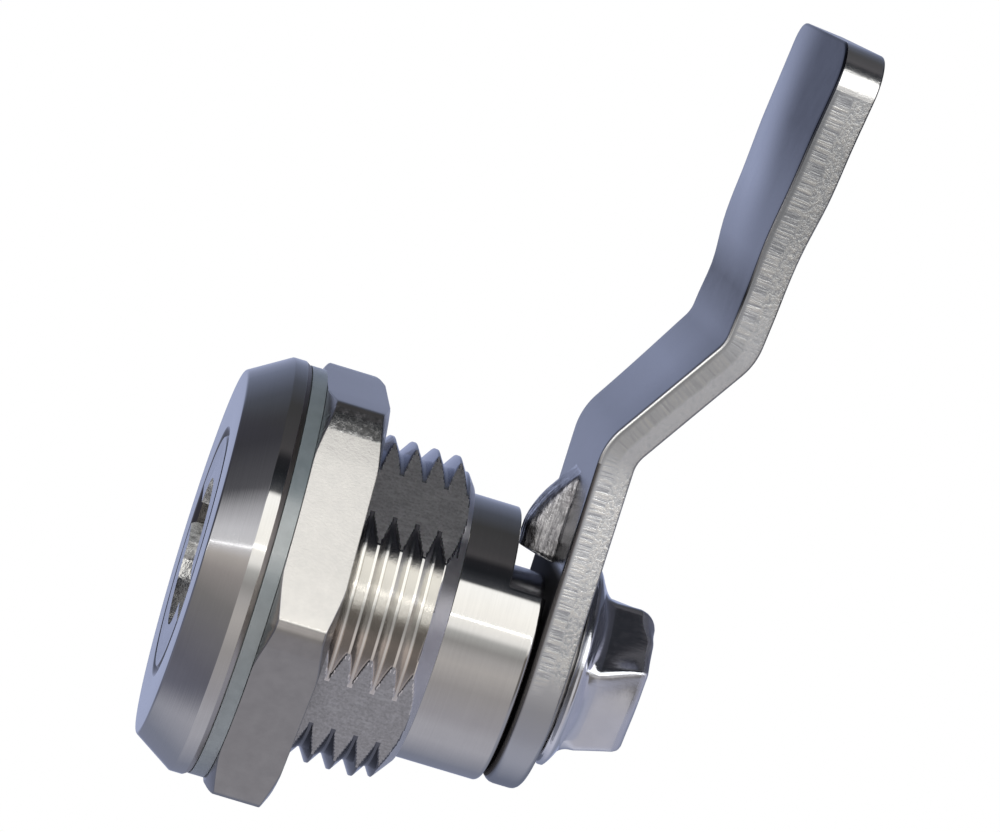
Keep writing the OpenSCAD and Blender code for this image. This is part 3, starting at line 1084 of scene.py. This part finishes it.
def arm_steel():
    """Arm: satin faces, and sheared sides with a streaked band and a torn band behind it."""
    mat, w, shader, place = new_finish("arm_steel")
    blank = w.add("ShaderNodeUVMap", {"uv_map": "blank"})
    s, depth, _ = w.axes(blank.outputs[0])
    streaks = w.noise(w.vector(w.math("MULTIPLY", s, 5.0), w.math("MULTIPLY", depth, 0.35)), 1.0, 4.0, 0.6)
    grain = use_group(w, metal_grain, Place=place, Grains_per_mm=4.0)
    torn = w.spread(w.math("MULTIPLY_ADD", grain["Mottle"], 0.5, depth), 1.45, 1.65)
    on_side = w.math("MULTIPLY", w.math("GREATER_THAN", depth, 0.14), w.math("LESS_THAN", depth, 2.32))
    plain = w.spread(w.math("MULTIPLY_ADD", grain["Mottle"], 2.0, s), -0.5, 1.8, soft=True)
    burnish = w.spread(depth, 0.25, 0.5, soft=True)
    smooth_run = w.by_length(s, greys([
        (12, 1), (15, 0.3), (25, 0.3), (29, 1), (blank_length - 3.4, 1), (blank_length - 2.8, 0.1)]))
    marked = w.math("MULTIPLY", w.math("MULTIPLY", plain, burnish), smooth_run)
    share = w.math("MULTIPLY_ADD", marked, 0.85, 0.15)
    side_marks = w.blend(share, 0.5, w.blend(torn, streaks, grain["Height"]))
    # Mask of the painted shadow on the front face below the lug; the face is also made rougher there.
    behind = w.spread(s, lug_low + 0.6, lug_low - 0.4, soft=True)
    behind = w.math("MULTIPLY", behind, w.math("LESS_THAN", depth, 0.2))
    middle = w.by_length(s, greys([(13.5, 0), (16, 1), (24, 1), (28, 0)]))
    face = arm_face_colour(w, grain, place, s, behind)
    sides = w.mix(on_side, face, arm_side_colour(w, side_marks, torn, marked, middle, s))
    # Painted highlight: a bright line on the rounded front corner over the middle run.
    corner = w.math("MULTIPLY", w.math("GREATER_THAN", depth, 0.03), w.math("LESS_THAN", depth, 0.2))
    sides = w.mix(w.math("MULTIPLY", corner, middle), sides, (0.97, 0.97, 0.97))
    # Painted shade: a dark band on the rolled front edge below the lower bend.
    rolled = w.math("MULTIPLY", w.spread(depth, 0.34, 0.12, soft=True), w.math("GREATER_THAN", depth, 0.006))
    rolled = w.math("MULTIPLY", rolled, w.math("LESS_THAN", s, bend_1))
    w.put(shader, "Base Color", w.mix(rolled, sides, (0.20, 0.19, 0.19)))
    face_rough = w.math("MULTIPLY_ADD", grain["Mottle"], 0.12, w.math("MULTIPLY_ADD", behind, 0.5, 0.16))
    side_rough = w.math("MULTIPLY_ADD", streaks, w.math("MULTIPLY_ADD", marked, 0.1, 0.04), 0.16)
    w.put(shader, "Roughness", w.blend(on_side, face_rough, side_rough))
    shader.inputs["Specular Tint"].default_value = (0.8, 0.8, 0.8, 1)
    bump(w, shader, (w.blend(on_side, w.math("MULTIPLY", grain["Height"], 0.15), side_marks), 0.045))
    return mat


def pressed_steel():
    """Stop lug: scratched along the press stroke, dark between the scratches."""
    mat, w, shader, place = new_finish("pressed_lug_steel")
    lines = use_group(w, drawn_lines, Place=place, Run=(4.0, 6.0, 0.8))
    grain = use_group(w, metal_grain, Place=place, Grains_per_mm=2.2)
    tone = w.math("MULTIPLY_ADD", lines["Height"], 0.55, w.math("MULTIPLY", grain["Height"], 0.45))
    base = w.ramp(tone, [
        (0.36, (0.28, 0.28, 0.295)), (0.5, (0.55, 0.55, 0.575)), (0.62, (0.88, 0.88, 0.90))])
    w.put(shader, "Base Color", w.mix(lines["Scratches"], base, (0.86, 0.86, 0.87)))
    w.put(shader, "Roughness", w.math("MULTIPLY_ADD", grain["Mottle"], 0.14, 0.16))
    bump(w, shader, (lines["Height"], 0.035), (grain["Height"], 0.05))
    return mat


def formed_steel(name, dark, light, rough_low, rough_high):
    """Smooth steel with faint forming lines along the axis."""
    mat, w, shader, place = new_finish(name)
    lines = use_group(w, drawn_lines, Place=place, Run=(5.0, 0.6, 5.0))
    grain = use_group(w, metal_grain, Place=place, Grains_per_mm=2.5)
    w.put(shader, "Base Color", w.ramp(grain["Mottle"], [(0.3, dark), (0.7, light)]))
    w.put(shader, "Roughness", w.spread(grain["Height"], 0.3, 0.7, rough_low, rough_high))
    bump(w, shader, (lines["Height"], 0.006), (grain["Height"], 0.006))
    return mat


def banded_steel(name, bands, rough):
    """Steel with painted shade and light that change with the height. A band is (height in millimetres,
    colour).
    """
    mat, w, shader, place = new_finish(name)
    grain = use_group(w, metal_grain, Place=place, Grains_per_mm=2.5)
    spots = w.math("MULTIPLY", grain["Mottle"], 0.25)
    w.put(shader, "Base Color", w.mix(spots, w.by_height(place, bands), (0.4, 0.39, 0.38)))
    w.put(shader, "Roughness", w.math("MULTIPLY_ADD", grain["Height"], 0.08, rough))
    bump(w, shader, (grain["Height"], 0.006))
    return mat


def seal_rubber(name, dark, light, rough_low, rough_high):
    """Moulded rubber: fine grain and slight dusting."""
    mat, w, shader, place = new_finish(name, metallic=0.0)
    grain = use_group(w, metal_grain, Place=place, Grains_per_mm=7.0)
    w.put(shader, "Base Color", w.ramp(grain["Mottle"], [(0.3, dark), (0.7, light)]))
    w.put(shader, "Roughness", w.spread(grain["Height"], 0, 1, rough_low, rough_high))
    bump(w, shader, (grain["Height"], 0.01))
    return mat


def gasket_rubber():
    """Grey-green rubber with a glossy skin."""
    mat = seal_rubber("grey_green_rubber", (0.115, 0.14, 0.15), (0.15, 0.178, 0.188), 0.29, 0.36)
    skin = {"IOR": 2.1, "Coat Weight": 0.8, "Coat IOR": 2.0, "Coat Roughness": 0.16}
    for key, value in skin.items():
        mat.node_tree.nodes["Principled BSDF"].inputs[key].default_value = value
    return mat


housing_finish = turned_steel("turned_housing_steel", (0.60, 0.595, 0.59), (0.64, 0.635, 0.63), 0.05, 0.09,
                              head_extra=0.01, depth=0.0025)
flats_finish = milled_steel()
# Painted shade and light by height: nearly black at the bottom of the thread, pale cream just below the axis,
# darker above and bluish on top.
thread_finish = banded_steel("thread_steel", [
    (-7, (0.11, 0.115, 0.14)), (-5.4, (0.84, 0.80, 0.77)), (-1.7, (0.90, 0.86, 0.83)),
    (-0.9, (0.74, 0.73, 0.71)), (3.4, (0.77, 0.76, 0.735)), (4.3, (0.5, 0.5, 0.51)),
    (8.2, (0.58, 0.60, 0.68))], 0.07)
chamfer_finish = formed_steel("chamfer_steel", (0.78, 0.78, 0.83), (0.88, 0.88, 0.93), 0.29, 0.4)
# Painted shade: the seat shoulder darkens towards its top; its roughness makes it duller too.
seat_finish = banded_steel("dull_seat_steel_painted_shade", [(-4, (0.62, 0.59, 0.57)), (1.5, (0.30, 0.275, 0.26))], 0.29)
gasket_finish = gasket_rubber()
nut_finish = satin_nut_steel()
insert_finish = turned_steel("turned_insert_steel", (0.53, 0.535, 0.56), (0.62, 0.625, 0.65), 0.15, 0.26)
recess_finish = cast_recess_steel()
ring_finish = seal_rubber("black_rubber", (0.012, 0.012, 0.013), (0.03, 0.03, 0.03), 0.35, 0.5)
arm_finish = arm_steel()
lug_finish = pressed_steel()
washer_finish = formed_steel("washer_steel", (0.36, 0.35, 0.34), (0.50, 0.49, 0.48), 0.3, 0.45)
screw_finish = formed_steel("screw_steel", (0.80, 0.82, 0.89), (0.88, 0.90, 0.97), 0.08, 0.16)
crown_finish = formed_steel("rubbed_crown_steel", (0.78, 0.80, 0.90), (0.86, 0.88, 0.97), 0.29, 0.38)


# Where each piece takes another finish

def on_flat(points):
    for p in points:
        one = abs(p.x * math.cos(flats_turn) + p.z * math.sin(flats_turn))
        other = abs(p.z * math.cos(flats_turn) - p.x * math.sin(flats_turn))
        if max(one, other) < flats_across / 2 - 0.004 or not relief_end < p.y < thread_end:
            return False
    return True


def on_end_cone(points):
    """True on the cone between the thread and the neck."""
    for p in points:
        off_cone = abs(math.hypot(p.x, p.z) - end_cone_r(p.y))
        if off_cone > 0.02 or not thread_end - 1.3 < p.y < thread_end + 0.01:
            return False
    return True


def on_thread(points):
    for p in points:
        if not 0.05 < p.y < thread_end - 0.02 or math.hypot(p.x, p.z) > thread_r + 0.01:
            return False
    return not on_flat(points)


def on_seat_shoulder(points):
    """True on the rear shoulder of the head rim, next to the gasket."""
    at_rim = all(13 < math.hypot(p.x, p.z) < head_r - 0.005 for p in points)
    return at_rim and min(p.y for p in points) > -0.4


def on_lug(points):
    """True on the pressed lug and the foot of its walls."""
    return min(p.y for p in points) < arm_front - 0.03 and max(p.z for p in points) < bend_1 - 1


def on_crown(points):
    """True where the screw head rounds over into its crown."""
    normal = (points[1] - points[0]).cross(points[2] - points[0])
    return min(p.y for p in points) > crown_y - 2.2 and abs(normal.y) > 0.22 * normal.length


def in_recess(points):
    if max(p.y for p in points) < head_front + 0.02:
        return False
    middle = sum(points, Vector()) / len(points)
    return middle.y < pocket_floor + 0.05 and math.hypot(middle.x, middle.z) < insert_r - 0.36


# Dress the part

def fit_piece(piece, body, slot, node, finish, *others):
    """Dresses a piece, ties it to its body and hides the CAD node it stands in for. Others are (test of a
    face, its finish).
    """
    piece.data.materials.append(finish)
    for index, (test, other) in enumerate(others, 1):
        piece.data.materials.append(other)
        for face in piece.data.polygons:
            if test([piece.data.vertices[i].co / MM for i in face.vertices]):
                face.material_index = index
    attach(piece, body)
    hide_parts(node)


fit_piece(build_housing(), "housing", "housing_steel", "housing", housing_finish,
          (on_flat, flats_finish), (on_thread, thread_finish), (on_end_cone, chamfer_finish),
          (on_seat_shoulder, seat_finish))
fit_piece(build_gasket(), "housing", "gasket_rubber", "head_gasket", gasket_finish)
fit_piece(build_nut(), "nut", "nut_steel", "panel_nut", nut_finish)
fit_piece(build_insert(), "rotor", "insert_steel", "key_insert", insert_finish, (in_recess, recess_finish))
fit_piece(build_arm(), "rotor", "arm_steel", "cam_arm", arm_finish, (on_lug, lug_finish))
fit_piece(build_washer(), "rotor", "washer_steel", "lock_washer", washer_finish)
fit_piece(build_screw(), "rotor", "screw_steel", "cam_screw", screw_finish, (on_crown, crown_finish))
sealing_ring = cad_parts["insert_o_ring"]
sealing_ring.data.materials.clear()
sealing_ring.data.materials.append(ring_finish)


# Studio

def build_camera():
    """Camera at the photograph's angle, in a frame 1000 by 832 pixels."""
    width, height = 1000, 832
    side = math.radians(6.137)
    lift = math.radians(0.392)
    roll = math.radians(17.021)
    distance = 416.5
    focal = 6409.7
    seat_u, seat_v = 248.9, 568.66
    back = Vector((math.cos(side) * math.cos(lift), -math.sin(side) * math.cos(lift), math.sin(lift)))
    level = Vector((0, 0, 1)).cross(back).normalized()
    upright = back.cross(level)
    right = math.cos(roll) * level + math.sin(roll) * upright
    up = -math.sin(roll) * level + math.cos(roll) * upright
    over = (seat_u - width / 2) / focal * distance
    rise = -(seat_v - height / 2) / focal * distance
    data = bpy.data.cameras.new("photo_camera")
    data.sensor_fit = "HORIZONTAL"
    data.sensor_width = 36
    data.lens = focal / width * 36
    data.clip_start = 0.01
    data.clip_end = 20
    camera = bpy.data.objects.new("photo_camera", data)
    turn = Matrix((right, up, back)).transposed()
    place = (back * distance - right * over - up * rise) * MM
    camera.matrix_world = Matrix.Translation(place) @ turn.to_4x4()
    bpy.context.scene.collection.objects.link(camera)
    bpy.context.scene.camera = camera


def choose_shader(w, fac, first, second):
    both = w.add("ShaderNodeMixShader", None, Fac=fac)
    w.put(both, "1", first.outputs[0])
    w.put(both, "2", second.outputs[0])
    return both.outputs[0]


def build_world():
    """White behind the object, plain soft light on it."""
    world = bpy.data.worlds.new("studio_world")
    world.use_nodes = True
    bpy.context.scene.world = world
    w = Wires(world.node_tree)
    world.node_tree.nodes.clear()
    rays = w.add("ShaderNodeLightPath").outputs
    seen = w.math("MAXIMUM", rays["Is Glossy Ray"], rays["Is Transmission Ray"])
    seen = w.math("MAXIMUM", rays["Is Camera Ray"], seen)
    plain = w.add("ShaderNodeBackground", None, Color=(0.93, 0.95, 1.0, 1), Strength=0.55)
    white = w.add("ShaderNodeBackground", None, Color=(1, 1, 1, 1), Strength=1.0)
    w.put(w.add("ShaderNodeOutputWorld"), "Surface", choose_shader(w, seen, plain, white))


def build_floor():
    """Pale floor well below the latch, plain white to the camera."""
    bm = bmesh.new()
    bmesh.ops.create_grid(bm, x_segments=2, y_segments=2, size=4)
    floor = finish_mesh(bm, "pale_floor")
    floor.location.z = -0.12
    mat, w, shader, place = new_finish("pale_floor", metallic=0.0)
    grain = use_group(w, metal_grain, Place=place, Grains_per_mm=0.02)
    w.put(shader, "Base Color", w.ramp(grain["Height"], greys([(0.3, 0.86), (0.7, 0.9)])))
    shader.inputs["Roughness"].default_value = 0.8
    rays = w.add("ShaderNodeLightPath").outputs
    white = w.add("ShaderNodeEmission", None, Color=(1, 1, 1, 1), Strength=1.0)
    seen = choose_shader(w, rays["Is Camera Ray"], shader, white)
    w.put(mat.node_tree.nodes["Material Output"], "Surface", seen)
    floor.data.materials.append(mat)
    floor.visible_glossy = False


# Tones of the tent's cards: degrees about the barrel axis above the camera side, and half the colour.
SIDE_TONES = [
    (-180, (0.19, 0.212, 0.30)), (-175, (0.19, 0.212, 0.30)), (-164, (0.11, 0.12, 0.165)),
    (-140, (0.13, 0.14, 0.18)), (-104, (0.26, 0.26, 0.29)), (-86, (0.262, 0.26, 0.285)),
    (-72, (0.228, 0.222, 0.24)), (-44, (0.22, 0.21, 0.21)), (-24, (0.30, 0.285, 0.275)),
    (-14, (0.27, 0.26, 0.255)), (-6, (0.20, 0.195, 0.19)), (2, (0.30, 0.30, 0.29)),
    (6, (0.60, 0.59, 0.57)), (14, (0.68, 0.665, 0.63)), (26, (0.73, 0.715, 0.675)),
    (44, (0.76, 0.755, 0.73)), (45.5, (0.035, 0.037, 0.042)), (57, (0.009, 0.010, 0.012)),
    (66, (0.012, 0.012, 0.014)), (72, (0.045, 0.043, 0.045)), (80, (0.038, 0.037, 0.039)),
    (105, (0.032, 0.032, 0.033)), (128, (0.05, 0.055, 0.07)), (152, (0.105, 0.12, 0.17)),
    (172, (0.19, 0.212, 0.30))]
FRONT_TONES = [
    (-180, (0.05, 0.055, 0.075)), (-130, (0.10, 0.105, 0.14)), (-80, (0.085, 0.085, 0.105)),
    (-30, (0.13, 0.125, 0.125)), (-6, (0.20, 0.185, 0.18)), (8, (0.30, 0.28, 0.265)),
    (18, (0.44, 0.44, 0.455)), (32, (0.40, 0.40, 0.42)), (48, (0.25, 0.25, 0.265)),
    (62, (0.06, 0.06, 0.067)), (96, (0.03, 0.03, 0.036)), (120, (0.035, 0.035, 0.045)),
    (180, (0.05, 0.055, 0.075))]
REAR_TONES = [
    (-180, (0.10, 0.11, 0.14)), (-100, (0.18, 0.185, 0.22)), (-60, (0.19, 0.19, 0.215)),
    (-38, (0.085, 0.08, 0.078)), (-4, (0.10, 0.09, 0.082)), (5, (0.64, 0.63, 0.605)),
    (43, (0.80, 0.785, 0.75)), (46, (0.018, 0.019, 0.023)), (90, (0.028, 0.028, 0.034)),
    (180, (0.05, 0.055, 0.075))]


def build_tent():
    """Tent of cards round the latch, seen only in reflections."""
    radius = 1.5
    bm = bmesh.new()
    bmesh.ops.create_uvsphere(bm, u_segments=64, v_segments=32, radius=radius)
    tent = finish_mesh(bm, "studio_tent")
    mat = bpy.data.materials.new("studio_tent")
    mat.use_nodes = True
    w = Wires(mat.node_tree)
    mat.node_tree.nodes.clear()
    x, y, z = w.axes(w.add("ShaderNodeTexCoord").outputs["Object"])
    around = w.turn_at(x, z)
    side, front, rear = [w.ramp(around, [(0.5 + a / 360, colour) for a, colour in tones])
                         for tones in (SIDE_TONES, FRONT_TONES, REAR_TONES)]
    forward = w.spread(y, -0.75, -1.0, soft=True)
    rear = w.mix(w.spread(y, 1.31, 1.41, soft=True), rear, (0.19, 0.19, 0.225))
    tone = w.mix(forward, w.mix(w.spread(y, 0.5, 0.75, soft=True), side, rear), front)
    # A narrow bright strip runs along the tent a little above the camera.
    middle = w.math("MULTIPLY_ADD", forward, 2.6 / 360, 0.5 + 14.8 / 360)
    off_strip = w.math("ABSOLUTE", w.math("SUBTRACT", around, middle))
    on_strip = w.math("MULTIPLY", w.math("LESS_THAN", off_strip, 0.45 / 360),
                      w.math("GREATER_THAN", y, 0.012 - radius))
    strength = w.math("MULTIPLY_ADD", on_strip, 6.0, 2.0)
    light = w.add("ShaderNodeEmission", None, Color=tone, Strength=strength)
    w.put(w.add("ShaderNodeOutputMaterial"), "Surface", light.outputs[0])
    tent.data.materials.append(mat)
    tent.visible_camera = False
    tent.visible_diffuse = False
    tent.visible_transmission = False
    tent.visible_volume_scatter = False
    tent.visible_shadow = False


def build_lamp(name, place, size, power):
    """Soft square lamp aimed at the latch, for the rubber and the floor."""
    data = bpy.data.lights.new(name, "AREA")
    data.shape = "SQUARE"
    data.size = size
    data.energy = power
    lamp = bpy.data.objects.new(name, data)
    lamp.location = place
    lamp.rotation_euler = Vector(place).to_track_quat("Z", "Y").to_euler()
    lamp.visible_glossy = False
    bpy.context.scene.collection.objects.link(lamp)


build_camera()
build_world()
build_floor()
build_tent()
build_lamp("key_lamp", (0.9, -0.5, 0.7), 0.8, 9.0)
build_lamp("fill_lamp", (0.3, -1.0, 0.3), 0.9, 4.0)
bpy.context.scene.view_settings.view_transform = "Standard"
